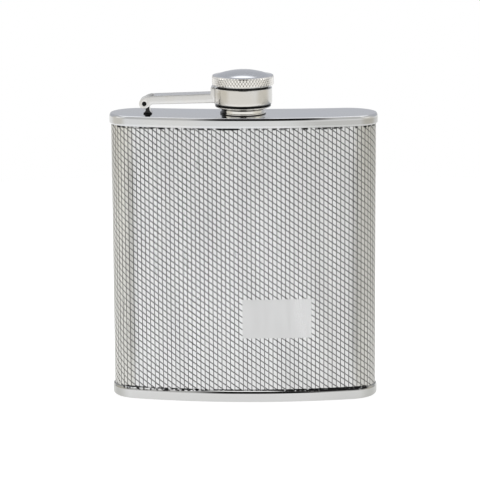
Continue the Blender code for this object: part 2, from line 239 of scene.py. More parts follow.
def arc(centre, radius, start, end, steps):
    """Points on an arc, its start included and its end left out."""
    points = []
    for i in range(steps):
        angle = start + (end - start) * i / steps
        points.append((centre[0] + radius * math.cos(angle), centre[1] + radius * math.sin(angle)))
    return points


def body_outline(inset=0.0):
    """The flask seen from above, counter-clockwise, starting in the middle of the hollow back."""
    shape = bpy.context.scene.flask_shape
    width, depth, front, end = shape.width, shape.depth, shape.front_radius, shape.end_radius
    front_y = front - depth / 2
    end_x = width / 2 - end
    end_y = front_y - math.sqrt((front - end) ** 2 - end_x**2)
    rise = end_y - depth / 2
    back = (end_x**2 + rise**2 - end**2) / (2 * (end + rise))
    back_y = depth / 2 + back
    middle_y = (end_y + end - depth / 2) / 2
    front_turn = math.asin(end_x / (front - end))
    back_turn = math.asin(end_x / (back + end))
    down, half = -math.pi / 2, math.pi
    side, radius = OUTLINE_STEPS // 2, end - inset
    points = arc((0, back_y), back + inset, down, down - back_turn, side)
    points += arc((-end_x, end_y), radius, half / 2 - back_turn, 3 * half / 2 - front_turn, side)
    points += arc((0, front_y), front - inset, down - front_turn, down + front_turn, 2 * side)
    points += arc((end_x, end_y), radius, down + front_turn, half / 2 + back_turn, side)
    points += arc((0, back_y), back + inset, down + back_turn, down, side)
    return [(x, y - middle_y) for x, y in points]


def rounded(corners, closed=False, steps=6):
    """A profile through (x, z) or (x, z, radius) corners, each rounded to its radius."""
    count = len(corners)
    points = []
    for i, corner in enumerate(corners):
        here = Vector(corner[:2])
        radius = corner[2] if len(corner) > 2 else 0.0
        if radius == 0.0 or (not closed and i in (0, count - 1)):
            points.append(tuple(here))
            continue
        before = (Vector(corners[i - 1][:2]) - here).normalized()
        after = (Vector(corners[(i + 1) % count][:2]) - here).normalized()
        half = before.angle(after) / 2
        reach = radius / math.tan(half)
        centre = here + (before + after).normalized() * (radius / math.sin(half))
        start, end = here + before * reach - centre, here + after * reach - centre
        turn = start.angle_signed(end)
        for k in range(steps + 1):
            spoke = start.copy()
            spoke.rotate(Matrix.Rotation(-turn * k / steps, 2))
            points.append(tuple(centre + spoke))
    return points


def shaded(mesh, sharp=SHARP):
    """The mesh with smooth faces and with sharp edges where it turns by more degrees than sharp."""
    mesh.shade_smooth()
    mesh.set_sharp_from_angle(angle=math.radians(sharp))
    return mesh


def tidy_mesh(cage, name):
    """Turns a bmesh into a smooth mesh with its faces outwards."""
    bmesh.ops.remove_doubles(cage, verts=cage.verts, dist=WELD)
    bmesh.ops.recalc_face_normals(cage, faces=cage.faces)
    mesh = bpy.data.meshes.new(name)
    cage.to_mesh(mesh)
    cage.free()
    return shaded(mesh)


def loft(name, rings, cap=True):
    """Skins rings of equal counts, and closes the first and the last."""
    cage = bmesh.new()
    loops = [[cage.verts.new(point) for point in ring] for ring in rings]
    count = len(loops[0])
    for lower, upper in zip(loops, loops[1:]):
        for i in range(count):
            j = (i + 1) % count
            cage.faces.new((lower[i], lower[j], upper[j], upper[i]))
    if cap:
        cage.faces.new(loops[0])
        cage.faces.new(loops[-1])
    return tidy_mesh(cage, name)


def pan(name, profile):
    """A pressed cover: an (inset, height) profile carried round the flask's outline."""
    rings = []
    for inset, height in profile:
        rings.append([(x, y, height) for x, y in body_outline(inset)])
    return loft(name, rings)


def finished(item, name):
    """The plain mesh of an object with its modifiers, and the object removed."""
    bpy.context.view_layer.update()
    evaluated = item.evaluated_get(bpy.context.evaluated_depsgraph_get())
    mesh = bpy.data.meshes.new_from_object(evaluated)
    bpy.data.objects.remove(item)
    mesh.name = name
    return mesh


def linked(name, data, location=(0, 0, 0)):
    """A new object in the scene."""
    item = bpy.data.objects.new(name, data)
    item.location = location
    bpy.context.scene.collection.objects.link(item)
    return item


def modified(item, kind, **settings):
    """Adds a modifier with its settings."""
    modifier = item.modifiers.new(kind.lower(), kind)
    for key, value in settings.items():
        setattr(modifier, key, value)
    return modifier


def turned(name, profile, closed=True, steps=ROUND_STEPS, pitch=0.0, turns=1, lift=0.0):
    """A profile of (radius, height) points turned about Z, or wound as a helix where it has a pitch."""
    mesh = bpy.data.meshes.new(name)
    count = len(profile)
    edges = [(i, (i + 1) % count) for i in range(count if closed else count - 1)]
    mesh.from_pydata([(r, 0, z + lift) for r, z in profile], edges, [])
    item = linked(name, mesh)
    modified(
        item, "SCREW", steps=steps, render_steps=steps, screw_offset=pitch, iterations=turns,
        use_merge_vertices=True, merge_threshold=WELD,
    )
    cage = bmesh.new()
    cage.from_mesh(finished(item, name))
    bmesh.ops.remove_doubles(cage, verts=cage.verts, dist=WELD)
    if pitch:
        bmesh.ops.holes_fill(cage, edges=cage.edges, sides=count)
    return tidy_mesh(cage, name)


def side_plate(name, outline, width):
    """An outline of (x, z) points, filled across width along Y."""
    cage = bmesh.new()
    face = cage.faces.new([cage.verts.new((x, -width / 2, z)) for x, z in outline])
    grown = bmesh.ops.extrude_face_region(cage, geom=[face])
    moved = [part for part in grown["geom"] if isinstance(part, bmesh.types.BMVert)]
    bmesh.ops.translate(cage, verts=moved, vec=(0, width, 0))
    return tidy_mesh(cage, name)


def rod(name, radius, low, high, axis="Z", steps=48):
    """A cylinder on its own axis, from low to high."""
    cage = bmesh.new()
    bmesh.ops.create_cone(
        cage, cap_ends=True, segments=steps, radius1=radius, radius2=radius, depth=high - low,
        matrix=Matrix.Translation((0, 0, (low + high) / 2)),
    )
    if axis == "Y":
        bmesh.ops.rotate(cage, verts=cage.verts, matrix=Matrix.Rotation(math.pi / 2, 3, "X"))
    return tidy_mesh(cage, name)


def cut(mesh, cutters, bevel=0.0):
    """The mesh less its cutters, given as (mesh, place) pairs, with its edges eased."""
    item = linked(mesh.name, mesh)
    tools = [linked(shape.name, shape, place) for shape, place in cutters]
    for tool in tools:
        modified(item, "BOOLEAN", object=tool, solver="EXACT")
    if bevel:
        angle = math.radians(40)
        modified(item, "BEVEL", width=bevel, segments=3, limit_method="ANGLE", angle_limit=angle)
    result = finished(item, mesh.name)
    for tool in tools:
        bpy.data.objects.remove(tool)
    return shaded(result, 38)


def joined(name, meshes):
    """Several meshes as one, each still closed in itself."""
    cage = bmesh.new()
    for mesh in meshes:
        cage.from_mesh(mesh)
    mesh = bpy.data.meshes.new(name)
    cage.to_mesh(mesh)
    cage.free()
    return mesh


def paint(mesh, surface):
    """Gives a mesh one material."""
    mesh.materials.clear()
    mesh.materials.append(surface)


def add_piece(name, mesh, body, slot, surface, *replaced):
    """Shows a finished mesh, in place of a solid, as a piece that moves with a body."""
    item = linked(name, mesh)
    paint(mesh, surface)
    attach(item, body)
    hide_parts(*replaced)


# Cells wrapped on an outline, for the engraving and the knurl


def node(tree, kind, settings=None, **inputs):
    """Adds a node, on a grid in the order of making, with its inputs set or linked by name."""
    column, row = divmod(len(tree.nodes), NODES_IN_COLUMN)
    added = tree.nodes.new(kind)
    added.location = (NODE_WIDTH * column, -NODE_HEIGHT * row)
    for key, value in (settings or {}).items():
        setattr(added, key, value)
    for key, value in inputs.items():
        plug(added, key.replace("_", " "), value)
    return added


def out(tree, kind, settings=None, **inputs):
    """The first output of a new node."""
    return node(tree, kind, settings, **inputs).outputs[0]


def plug(target, key, value):
    """Links a socket to an input, given by its name or its number, or sets the input's value."""
    socket = target.inputs[int(key)] if key.isdigit() else target.inputs[key]
    if isinstance(value, NodeSocket):
        target.id_data.links.new(value, socket)
    else:
        socket.default_value = value


def maths(operation, *values, kind="ShaderNodeMath"):
    """A sum on numbers and sockets, in the tree of its first socket."""
    tree = next(value.id_data for value in values if isinstance(value, NodeSocket))
    added = node(tree, kind, {"operation": operation})
    for i, value in enumerate(values):
        plug(added, str(i), value)
    return added.outputs[0]


def vector_maths(operation, *values):
    return maths(operation, *values, kind="ShaderNodeVectorMath")


def scaled(vector, factor):
    """A vector times a number."""
    added = node(vector.id_data, "ShaderNodeVectorMath", {"operation": "SCALE"}, Scale=factor)
    plug(added, "0", vector)
    return added.outputs[0]


CELL_FLOATS = (
    "Column Width", "Row Height", "Line Share", "Depth", "Low", "High",
    "Panel Start", "Panel End", "Panel Low", "Panel High",
)
CELL_INPUTS = (
    ("Geometry", "Geometry"), ("Outline", "Object"),
    ("Cell Side A", "Vector"), ("Cell Side B", "Vector"),
    *((name, "Float") for name in CELL_FLOATS), ("Material", "Material"),
)


def spread(share, line_share):
    """Moves a cell's two inner rows of points, at a third and two thirds, out to the line's edges."""
    wave = maths("SINE", maths("MULTIPLY", share, 2 * math.pi))
    pull = maths("SUBTRACT", line_share, 1 / 3)
    pull = maths("DIVIDE", pull, math.sin(2 * math.pi / 3))
    return maths("MULTIPLY_ADD", wave, pull, share)


def between(value, low, high):
    """1 where the value lies between low and high, else 0."""
    above = maths("GREATER_THAN", value, low)
    below = maths("LESS_THAN", value, high)
    return maths("MULTIPLY", above, below)


def stored(geometry, name, value):
    """Geometry with a number kept at each of its points."""
    kept = {"data_type": "FLOAT", "domain": "POINT"}
    kind = "GeometryNodeStoreNamedAttribute"
    return out(geometry.id_data, kind, kept, Geometry=geometry, Name=name, Value=value)


def point_parts(tree):
    """The x, y and z of each point where it is now."""
    here = out(tree, "GeometryNodeInputPosition")
    return node(tree, "ShaderNodeSeparateXYZ", Vector=here).outputs


def wrapped_cells_tree():
    """Raised cells between cut lines, set on lattice points and wrapped on an outline."""
    tree = bpy.data.node_groups.new("wrapped_cells", "GeometryNodeTree")
    for name, kind in CELL_INPUTS:
        tree.interface.new_socket(name=name, in_out="INPUT", socket_type="NodeSocket" + kind)
    tree.interface.new_socket(name="Geometry", in_out="OUTPUT", socket_type="NodeSocketGeometry")
    given = node(tree, "NodeGroupInput").outputs

    # One cell: a flat grid of 4 by 4 points, whose inner four are raised
    grid = node(tree, "GeometryNodeMeshGrid", Size_X=1.0, Size_Y=1.0, Vertices_X=4, Vertices_Y=4)
    spot = point_parts(tree)
    along, across = maths("ADD", spot[0], 0.5), maths("ADD", spot[1], 0.5)
    side_a = scaled(given["Cell Side A"], spread(along, given["Line Share"]))
    side_b = scaled(given["Cell Side B"], spread(across, given["Line Share"]))
    inside_a, inside_b = between(along, 0.1, 0.9), between(across, 0.1, 0.9)
    inner = maths("MULTIPLY", inside_a, inside_b)
    lifted = out(tree, "ShaderNodeCombineXYZ", Z=inner)
    place = vector_maths("ADD", vector_maths("ADD", side_a, side_b), lifted)
    outside_a = maths("SUBTRACT", 1.0, inside_a)
    outside_b = maths("SUBTRACT", 1.0, inside_b)
    crossed = stored(grid.outputs["Mesh"], "crossing", maths("MULTIPLY", outside_a, outside_b))
    cell = out(tree, "GeometryNodeSetPosition", Geometry=crossed, Position=place)

    # All the cells, with their place on the lattice still in their points
    copies = out(
        tree, "GeometryNodeInstanceOnPoints", Points=given["Geometry"], Instance=cell
    )
    real = out(tree, "GeometryNodeRealizeInstances", Geometry=copies)
    flat = point_parts(tree)
    height = maths("MULTIPLY_ADD", flat[1], given["Row Height"], given["Low"])
    height = out(tree, "ShaderNodeClamp", Value=height, Min=given["Low"], Max=given["High"])
    length_along = maths("MULTIPLY", flat[0], given["Column Width"])

    # The lines run out at the borders, and the panel has none
    open_field = between(
        height,
        maths("ADD", given["Low"], BORDER), maths("SUBTRACT", given["High"], BORDER),
    )
    panel = maths(
        "MULTIPLY",
        between(length_along, given["Panel Start"], given["Panel End"]),
        between(height, given["Panel Low"], given["Panel High"]),
    )
    raised = maths("MULTIPLY", flat[2], open_field)
    sunken = maths("SUBTRACT", 1.0, maths("MAXIMUM", raised, panel))
    marked = stored(real, "cut_line", maths("SUBTRACT", 1.0, raised))

    # Wrapped on the outline
    own = {"transform_space": "ORIGINAL"}
    source = node(tree, "GeometryNodeObjectInfo", own, Object=given["Outline"])
    curve = out(tree, "GeometryNodeMeshToCurve", Mesh=source.outputs["Geometry"])
    girth = out(tree, "GeometryNodeCurveLength", Curve=curve)
    turn = maths("FLOORED_MODULO", length_along, girth)
    sample = node(tree, "GeometryNodeSampleCurve", {"mode": "LENGTH"}, Curves=curve, Length=turn).outputs
    outward = vector_maths("CROSS_PRODUCT", sample["Tangent"], (0.0, 0.0, 1.0))
    outward = vector_maths("NORMALIZE", outward)
    drop = maths("MULTIPLY", maths("MULTIPLY", sunken, given["Depth"]), -1.0)
    final = vector_maths("ADD", sample["Position"], scaled(outward, drop))
    final = vector_maths("ADD", final, out(tree, "ShaderNodeCombineXYZ", Z=height))
    wrapped = out(tree, "GeometryNodeSetPosition", Geometry=marked, Position=final)
    merged = out(tree, "GeometryNodeMergeByDistance", Geometry=wrapped, Distance=WELD)
    whole = out(tree, "GeometryNodeRealizeInstances", Geometry=merged)
    painted = out(
        tree, "GeometryNodeSetMaterial", Geometry=whole, Material=given["Material"]
    )
    node(tree, "NodeGroupOutput", Geometry=painted)
    return tree


def wrapped_cells(name, points, outline, values):
    """Runs the tree on lattice points round a closed outline and returns a plain mesh."""
    tree = bpy.data.node_groups.get("wrapped_cells") or wrapped_cells_tree()
    line = bpy.data.meshes.new(name + "_outline")
    count = len(outline)
    line.from_pydata([(x, y, 0) for x, y in outline], [(i, (i + 1) % count) for i in range(count)], [])
    guide = linked(name + "_outline", line)
    cloud = bpy.data.meshes.new(name)
    cloud.from_pydata([(u, v, 0) for u, v in points], [], [])
    item = linked(name, cloud)
    cells = modified(item, "NODES", node_group=tree)
    sockets = {s.name: s.identifier for s in tree.interface.items_tree if s.in_out == "INPUT"}
    for key, value in {**values, "Outline": guide}.items():
        cells[sockets[key]] = value
    mesh = finished(item, name)
    bpy.data.objects.remove(guide)
    return mesh


def perimeter(outline):
    return sum(math.dist(a, b) for a, b in zip(outline, outline[1:] + outline[:1]))


# Finishes


def new_surface(name):
    """A new material with its tree and its shader."""
    surface = bpy.data.materials.new(name)
    surface.use_nodes = True
    return surface, surface.node_tree, surface.node_tree.nodes["Principled BSDF"]


def noise(place, scale, detail):
    return out(place.id_data, "ShaderNodeTexNoise", Vector=place, Scale=scale, Detail=detail)


def mixed(mask, first, second, kind="RGBA"):
    """Two colours or two numbers, mixed by a mask."""
    keys, output = MIX_SOCKETS[kind]
    blend = node(mask.id_data, "ShaderNodeMix", {"data_type": kind})
    for key, value in zip(keys, (mask, first, second)):
        plug(blend, key, value)
    return blend.outputs[output]


def ramp(value, low, high):
    """0 below low, 1 above high, and smooth between. It falls instead where low is the greater."""
    smooth = {"interpolation_type": "SMOOTHSTEP"}
    return out(value.id_data, "ShaderNodeMapRange", smooth, Value=value, From_Min=low, From_Max=high)


def dress(shader, tint, uneven, least, most, grain, strength, depth):
    """Gives a shader its tint, a roughness that wanders from least to most, and a fine grain."""
    tree = shader.id_data
    plug(shader, "Base Color", tint)
    rough = out(tree, "ShaderNodeMapRange", Value=uneven, To_Min=least, To_Max=most)
    plug(shader, "Roughness", rough)
    bump = out(tree, "ShaderNodeBump", Height=grain, Strength=strength, Distance=depth)
    plug(shader, "Normal", bump)


def steel_surface(name, tint, roughness, brush, depth, second_tint=None, patch_size=0.02):
    """Steel with slow changes of tint, fine polishing marks and a few wider smears."""
    surface, tree, shader = new_surface(name)
    shader.inputs["Metallic"].default_value = 1.0
    place = object_place(surface)
    patches = ramp(noise(place, 1 / patch_size, 3.0), 0.38, 0.66)
    stretch = out(tree, "ShaderNodeMapping", Vector=place, Scale=BRUSHED[brush])
    marks = noise(stretch, MARKS, 4.0)
    smears = ramp(noise(stretch, SMEARS, 5.0), 0.35, 0.75)
    colours = mixed(patches, (*tint, 1), (*(second_tint or tint), 1))
    dress(shader, colours, smears, roughness * 0.8, roughness * 1.5, marks, depth, STEEL_GRAIN)
    return surface


def object_place(surface):
    """The object's own coordinates."""
    return node(surface.node_tree, "ShaderNodeTexCoord").outputs["Object"]


def object_axes(surface):
    """The object's own x, y and z, for masks that follow its shape."""
    place = object_place(surface)
    return node(surface.node_tree, "ShaderNodeSeparateXYZ", Vector=place).outputs


def tint_where(surface, mask, tint, roughness=None):
    """Mixes another tint, and roughness where it is given, into a steel surface by a mask."""
    shader = surface.node_tree.nodes["Principled BSDF"]
    tint_from = shader.inputs["Base Color"].links[0].from_socket
    plug(shader, "Base Color", mixed(mask, tint_from, (*tint, 1)))
    if roughness is not None:
        rough_from = shader.inputs["Roughness"].links[0].from_socket
        plug(shader, "Roughness", mixed(mask, rough_from, roughness, "FLOAT"))


def cut_mask(surface, strength, line_range, crossing_range):
    """The cut lines, and their crossings at full strength, as the mesh marks them."""
    line, crossing = (
        node(surface.node_tree, "ShaderNodeAttribute", {"attribute_name": name}).outputs["Fac"]
        for name in ("cut_line", "crossing")
    )
    line = maths("MULTIPLY", ramp(line, *line_range), strength)
    return maths("MAXIMUM", line, ramp(crossing, *crossing_range))


def broken(x, blotch):
    """A mask that breaks the painted shade of a gap into blotches, and leaves more of it towards the
    right.
    """
    return ramp(maths("MULTIPLY_ADD", x, 2.5, blotch), 0.36, 0.5)


def both(*masks):
    """The product of all the masks."""
    product = masks[0]
    for mask in masks[1:]:
        product = maths("MULTIPLY", product, mask)
    return product


def plastic_surface(name, tint, roughness, speck):
    """A moulded plastic or rubber with a faint mottle and a fine matt grain."""
    surface, _, shader = new_surface(name)
    place = object_place(surface)
    mottle = ramp(noise(place, 300.0, 4.0), 0.3, 0.7)
    grain = noise(place, 4000.0, 2.0)
    darker = tuple(c * (1 - speck) for c in tint)
    colours = mixed(mottle, (*tint, 1), (*darker, 1))
    dress(shader, colours, grain, roughness * 0.85, roughness * 1.15, grain, 0.3, PLASTIC_GRAIN)
    return surface


# Operators


class FLASK_OT_engraved_sleeve(Operator):
    """Make the sleeve with its cut lines and its blank panel"""

    bl_idname = "flask.engraved_sleeve"
    bl_label = "Engraved sleeve"

    def execute(self, context):
        scene = context.scene
        shape, cuts, steel = scene.flask_shape, scene.flask_engraving, scene.flask_steel
        outline = body_outline(shape.sleeve_inset)
        girth = perimeter(outline)
        columns = round(girth / cuts.column_width)
        drop = round(columns * cuts.slant)
        rows = math.ceil((SLEEVE_TOP - SLEEVE_LOW) / cuts.row_height) + 2
        points = []
        for column in range(columns):
            offset = (column * drop / columns) % 1.0
            points += [(column, row - offset) for row in range(rows)]
        surface = self.finish(steel, cuts)
        values = {
            "Cell Side A": (1.0, -drop / columns, 0.0),
            "Cell Side B": (0.0, 1.0, 0.0),
            "Column Width": girth / columns,
            "Row Height": cuts.row_height,
            "Line Share": cuts.line_share,
            "Depth": cuts.depth,
            "Low": SLEEVE_LOW,
            "High": SLEEVE_TOP,
            "Panel Start": girth / 2 + cuts.panel_left - cuts.column_width / 2,
            "Panel End": girth / 2 + cuts.panel_right + cuts.column_width / 2,
            "Panel Low": cuts.panel_low - cuts.row_height / 2,
            "Panel High": cuts.panel_high + cuts.row_height / 2,
            "Material": surface,
        }
        skin = wrapped_cells("engraved_skin", points, outline, values)
        skin.shade_flat()
        outer, inner = shape.sleeve_inset + cuts.depth, shape.sleeve_inset + shape.sheet
        profile = [(outer, SLEEVE_LOW), (outer, SLEEVE_TOP), (inner, SLEEVE_TOP), (inner, SLEEVE_LOW)]
        rings = [[(x, y, z) for x, y in body_outline(inset)] for inset, z in profile + profile[:1]]
        wall = loft("sleeve_wall", rings, cap=False)
        mesh = joined("engraved_sleeve", [skin, wall])
        add_piece("engraved_sleeve", mesh, "flask", "sleeve_steel", surface, "body_sleeve")
        return {"FINISHED"}

    def finish(self, steel, cuts):
        """Satin steel with painted shade: darker on the right, darker and warmer at the ends, and dark
        at the bends, in the cuts and by the covers.
        """
        surface = steel_surface("sleeve_finish", steel.sleeve_tint, steel.satin, "up", 0.5)
        x, y, z = object_axes(surface)
        outward = maths("ABSOLUTE", x)
        end_start, end_full = 37.5 * MM, 40.5 * MM
        # Painted shade: the sleeve darker towards the right
        tint_where(surface, ramp(x, 6 * MM, 34 * MM), steel.sleeve_shade)
        # Painted shade: both ends of the sleeve darker and warmer
        tint_where(surface, ramp(outward, end_start, end_full), steel.sleeve_warm)
        # Painted shade: the left end lighter than the right, and lighter again higher up
        left = ramp(x, -end_start, -end_full)
        tint_where(surface, left, steel.sleeve_left)
        high, inner = ramp(z, 25 * MM, 75 * MM), ramp(x, -45 * MM, -42.5 * MM)
        tint_where(surface, both(left, high, inner), steel.sleeve_left_high)
        # Painted shade: a soft dark band down each bend of the sleeve
        bend = both(
            ramp(outward, 36.6 * MM, 38.6 * MM),
            ramp(outward, 41.6 * MM, 39.4 * MM),
            ramp(z, 6 * MM, 22 * MM),
            ramp(z, 92 * MM, 80 * MM),
        )
        bend_shade = tuple(c * 0.45 for c in steel.sleeve_warm)
        tint_where(surface, maths("MULTIPLY", bend, 0.3), bend_shade)
        blank = both(
            between(x, cuts.panel_left, cuts.panel_right),
            between(z, cuts.panel_low, cuts.panel_high),
            maths("LESS_THAN", y, 0.0),
        )
        tint_where(surface, blank, steel.panel_tint)
        lined = maths("SUBTRACT", 1.0, blank)
        # Painted shade in the cut lines, a little stronger higher up, and full at their crossings
        strength = maths("MULTIPLY_ADD", ramp(z, 55 * MM, 92 * MM), 0.06, 0.9)
        lines = cut_mask(surface, strength, (0.25, 0.47), (0.02, 0.15))
        tint_where(surface, both(lines, lined), steel.line_tint, 0.5)

        # Painted shade, broken into blotches, in the gaps where the covers' skirts meet the sleeve
        place = object_place(surface)
        blotch, drift = noise(place, 700.0, 2.0), noise(place, 45.0, 1.0)
        skirt_low, skirt_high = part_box("top_cover")[0].z, BASE_SKIRT_TOP
        upper = both(
            ramp(z, skirt_low - 0.85 * MM, skirt_low - 0.4 * MM),
            ramp(blotch, 0.44, 0.56),
        )
        lower = both(
            ramp(z, skirt_high + 0.75 * MM, skirt_high + 0.25 * MM),
            ramp(maths("MULTIPLY_ADD", x, -9.0, drift), 0.5, 0.8),
            ramp(x, -43.0 * MM, -41.0 * MM),
        )
        seam = both(
            ramp(z, skirt_high + 0.6 * MM, skirt_high + 0.35 * MM),
            ramp(outward, 44 * MM, 42.5 * MM),
            broken(x, blotch),
        )
        gaps = maths("MAXIMUM", upper, maths("MAXIMUM", lower, seam))
        tint_where(surface, gaps, steel.shadow_tint, 0.6)
        return surface


class FLASK_OT_covers(Operator):
    """Press the top and the base cover"""

    bl_idname = "flask.covers"
    bl_label = "Covers"

    def execute(self, context):
        shape, steel = context.scene.flask_shape, context.scene.flask_steel
        sheet, edge, hug = shape.sheet, shape.cover_edge, shape.sleeve_inset - 0.02 * MM
        wall, middle = sheet - 0.1 * MM, 3 * MM
        low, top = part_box("top_cover")[0].z, COVER_TOP
        inner_edge = edge - wall
        top_profile = rounded([
            (middle, top - sheet), (wall + 1.5 * inner_edge, top - sheet),
            (wall, top - sheet, inner_edge),
            (wall, low + 1.4 * MM, BROAD), (hug, low + 0.6 * MM, BROAD), (hug, low, 0.04 * MM),
            (0, low, 0.5 * MM), (0, top - 2 * edge), (0, top - 0.8 * MM, 0.8 * MM),
            (0.43 * MM, top, 0.4 * MM), (1.6 * edge, top), (middle, top),
        ])
        surface = steel_surface(
            "cover_finish", steel.tint, steel.polish, "along", 0.12, steel.cool_tint
        )
        x, _, z = object_axes(surface)
        # Painted shade on the right half of the top cover's skirt
        shaded = both(
            ramp(x, 12 * MM, 28 * MM),
            ramp(z, COVER_TOP - 0.9 * MM, COVER_TOP - 1.5 * MM),
        )
        tint_where(surface, shaded, steel.skirt_shade)
        neck_radius, rivet_radius = size_of("spout").x / 2 - 1.4 * MM, 1.3 * MM
        holes = [
            (rod("neck_hole", neck_radius, low, top + sheet), (0, 0, 0)),
            (rod("rivet_hole", rivet_radius, low, top + sheet), (middle_of("post_washer").x, 0, 0)),
        ]
        mesh = cut(pan("top_pan", top_profile), holes)
        add_piece("top_pan", mesh, "flask", "top_cover_steel", surface, "top_cover")
        high = BASE_SKIRT_TOP
        base_profile = rounded([
            (middle, sheet), (wall + 1.5 * inner_edge, sheet), (wall, sheet, inner_edge),
            (wall, high - 1.4 * MM, BROAD), (hug, high - 0.6 * MM, 0.2 * MM), (hug, high, 0.04 * MM),
            (0.48 * MM, high, 0.05 * MM), (0.25 * MM, high - 0.21 * MM, 0.08 * MM),
            (0, high - 0.95 * MM, 0.4 * MM), (0, 2 * edge), (0, 0, edge), (1.6 * edge, 0), (middle, 0),
        ])
        base_finish = steel_surface("base_finish", steel.base_tint, steel.polish, "along", 0.12)
        x, _, z = object_axes(base_finish)
        outward = maths("ABSOLUTE", x)
        # Painted shade: the base darker towards the right and at its ends
        tint_where(base_finish, ramp(x, 20 * MM, 38 * MM), steel.base_shade)
        tint_where(base_finish, ramp(outward, 40 * MM, 45 * MM), steel.end_tint)
        # Painted shade, broken into blotches, in the gap where the base's rim meets the sleeve, reaching
        # lower towards the ends
        blotch = noise(object_place(base_finish), 950.0, 2.0)
        depth_here = ramp(outward, 4 * MM, 32 * MM)
        lifted = maths("MULTIPLY_ADD", depth_here, 0.74 * MM, z)
        gap = both(
            ramp(lifted, high - 0.02 * MM, high + 0.12 * MM),
            ramp(outward, 44.5 * MM, 43 * MM),
            broken(x, blotch),
        )
        tint_where(base_finish, gap, steel.shadow_tint, 0.5)
        mesh = pan("base_pan", base_profile)
        add_piece("base_pan", mesh, "flask", "base_cover_steel", base_finish, "base_cover")
        return {"FINISHED"}


def thread(name, root, crest, start):
    """A helical ridge with a flat crest, sunk a little into its root."""
    sunk = root + (root - crest) * 0.3
    foot, tip = THREAD_PITCH * 0.42, THREAD_PITCH * 0.14
    profile = [(sunk, foot), (crest, tip), (crest, -tip), (sunk, -foot)]
    return turned(name, profile, steps=48, pitch=THREAD_PITCH, turns=THREAD_TURNS, lift=start)


class FLASK_OT_neck(Operator):
    """Turn the threaded spout and the collar at its foot"""

    bl_idname = "flask.neck"
    bl_label = "Neck"

    def execute(self, context):
        steel = context.scene.flask_steel
        low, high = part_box("spout")
        flange = high.x
        root, bore = flange - 1.7 * MM, flange - 2.4 * MM
        ledge = low.z + 0.6 * MM
        profile = rounded([
            (bore, high.z, EASE), (root - 0.1 * MM, high.z, BROAD), (root, ledge),
            (flange, ledge, FINE), (flange, low.z, FINE), (bore, low.z),
        ], closed=True)
        tube = turned("spout_tube", profile)
        ridge = thread("spout_ridge", root, root + 0.55 * MM, THREAD_START)
        surface = steel_surface("spout_finish", steel.tint, 0.16, "round", 0.3, steel.warm_tint)
        mesh = shaded(joined("threaded_spout", [tube, ridge]))
        add_piece("threaded_spout", mesh, "flask", "spout_steel", surface, "spout")
        foot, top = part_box("neck_collar")[1].x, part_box("neck_collar")[1].z
        step, inside = COVER_TOP + 0.55 * MM, root + 0.02 * MM
        profile = rounded([
            (inside, top), (foot - 0.5 * MM, top, SOFT), (foot - 0.5 * MM, step, 0.12 * MM),
            (foot, step, EASE), (foot, COVER_TOP), (inside, COVER_TOP),
        ], closed=True)
        collar_finish = steel_surface(
            "collar_finish", steel.collar_tint, steel.polish, "round", 0.15
        )
        x, _, z = object_axes(collar_finish)
        # Painted shade at the collar's foot and under the arm
        foot_shade = ramp(z, COVER_TOP + 0.4 * MM, COVER_TOP + 0.2 * MM)
        under_arm = ramp(x, -5.3 * MM, -5.9 * MM)
        shade = maths("MAXIMUM", foot_shade, under_arm)
        tint_where(collar_finish, shade, steel.shadow_tint, 0.3)
        mesh = turned("stepped_collar", profile)
        add_piece("stepped_collar", mesh, "flask", "collar_steel", collar_finish, "neck_collar")
        return {"FINISHED"}


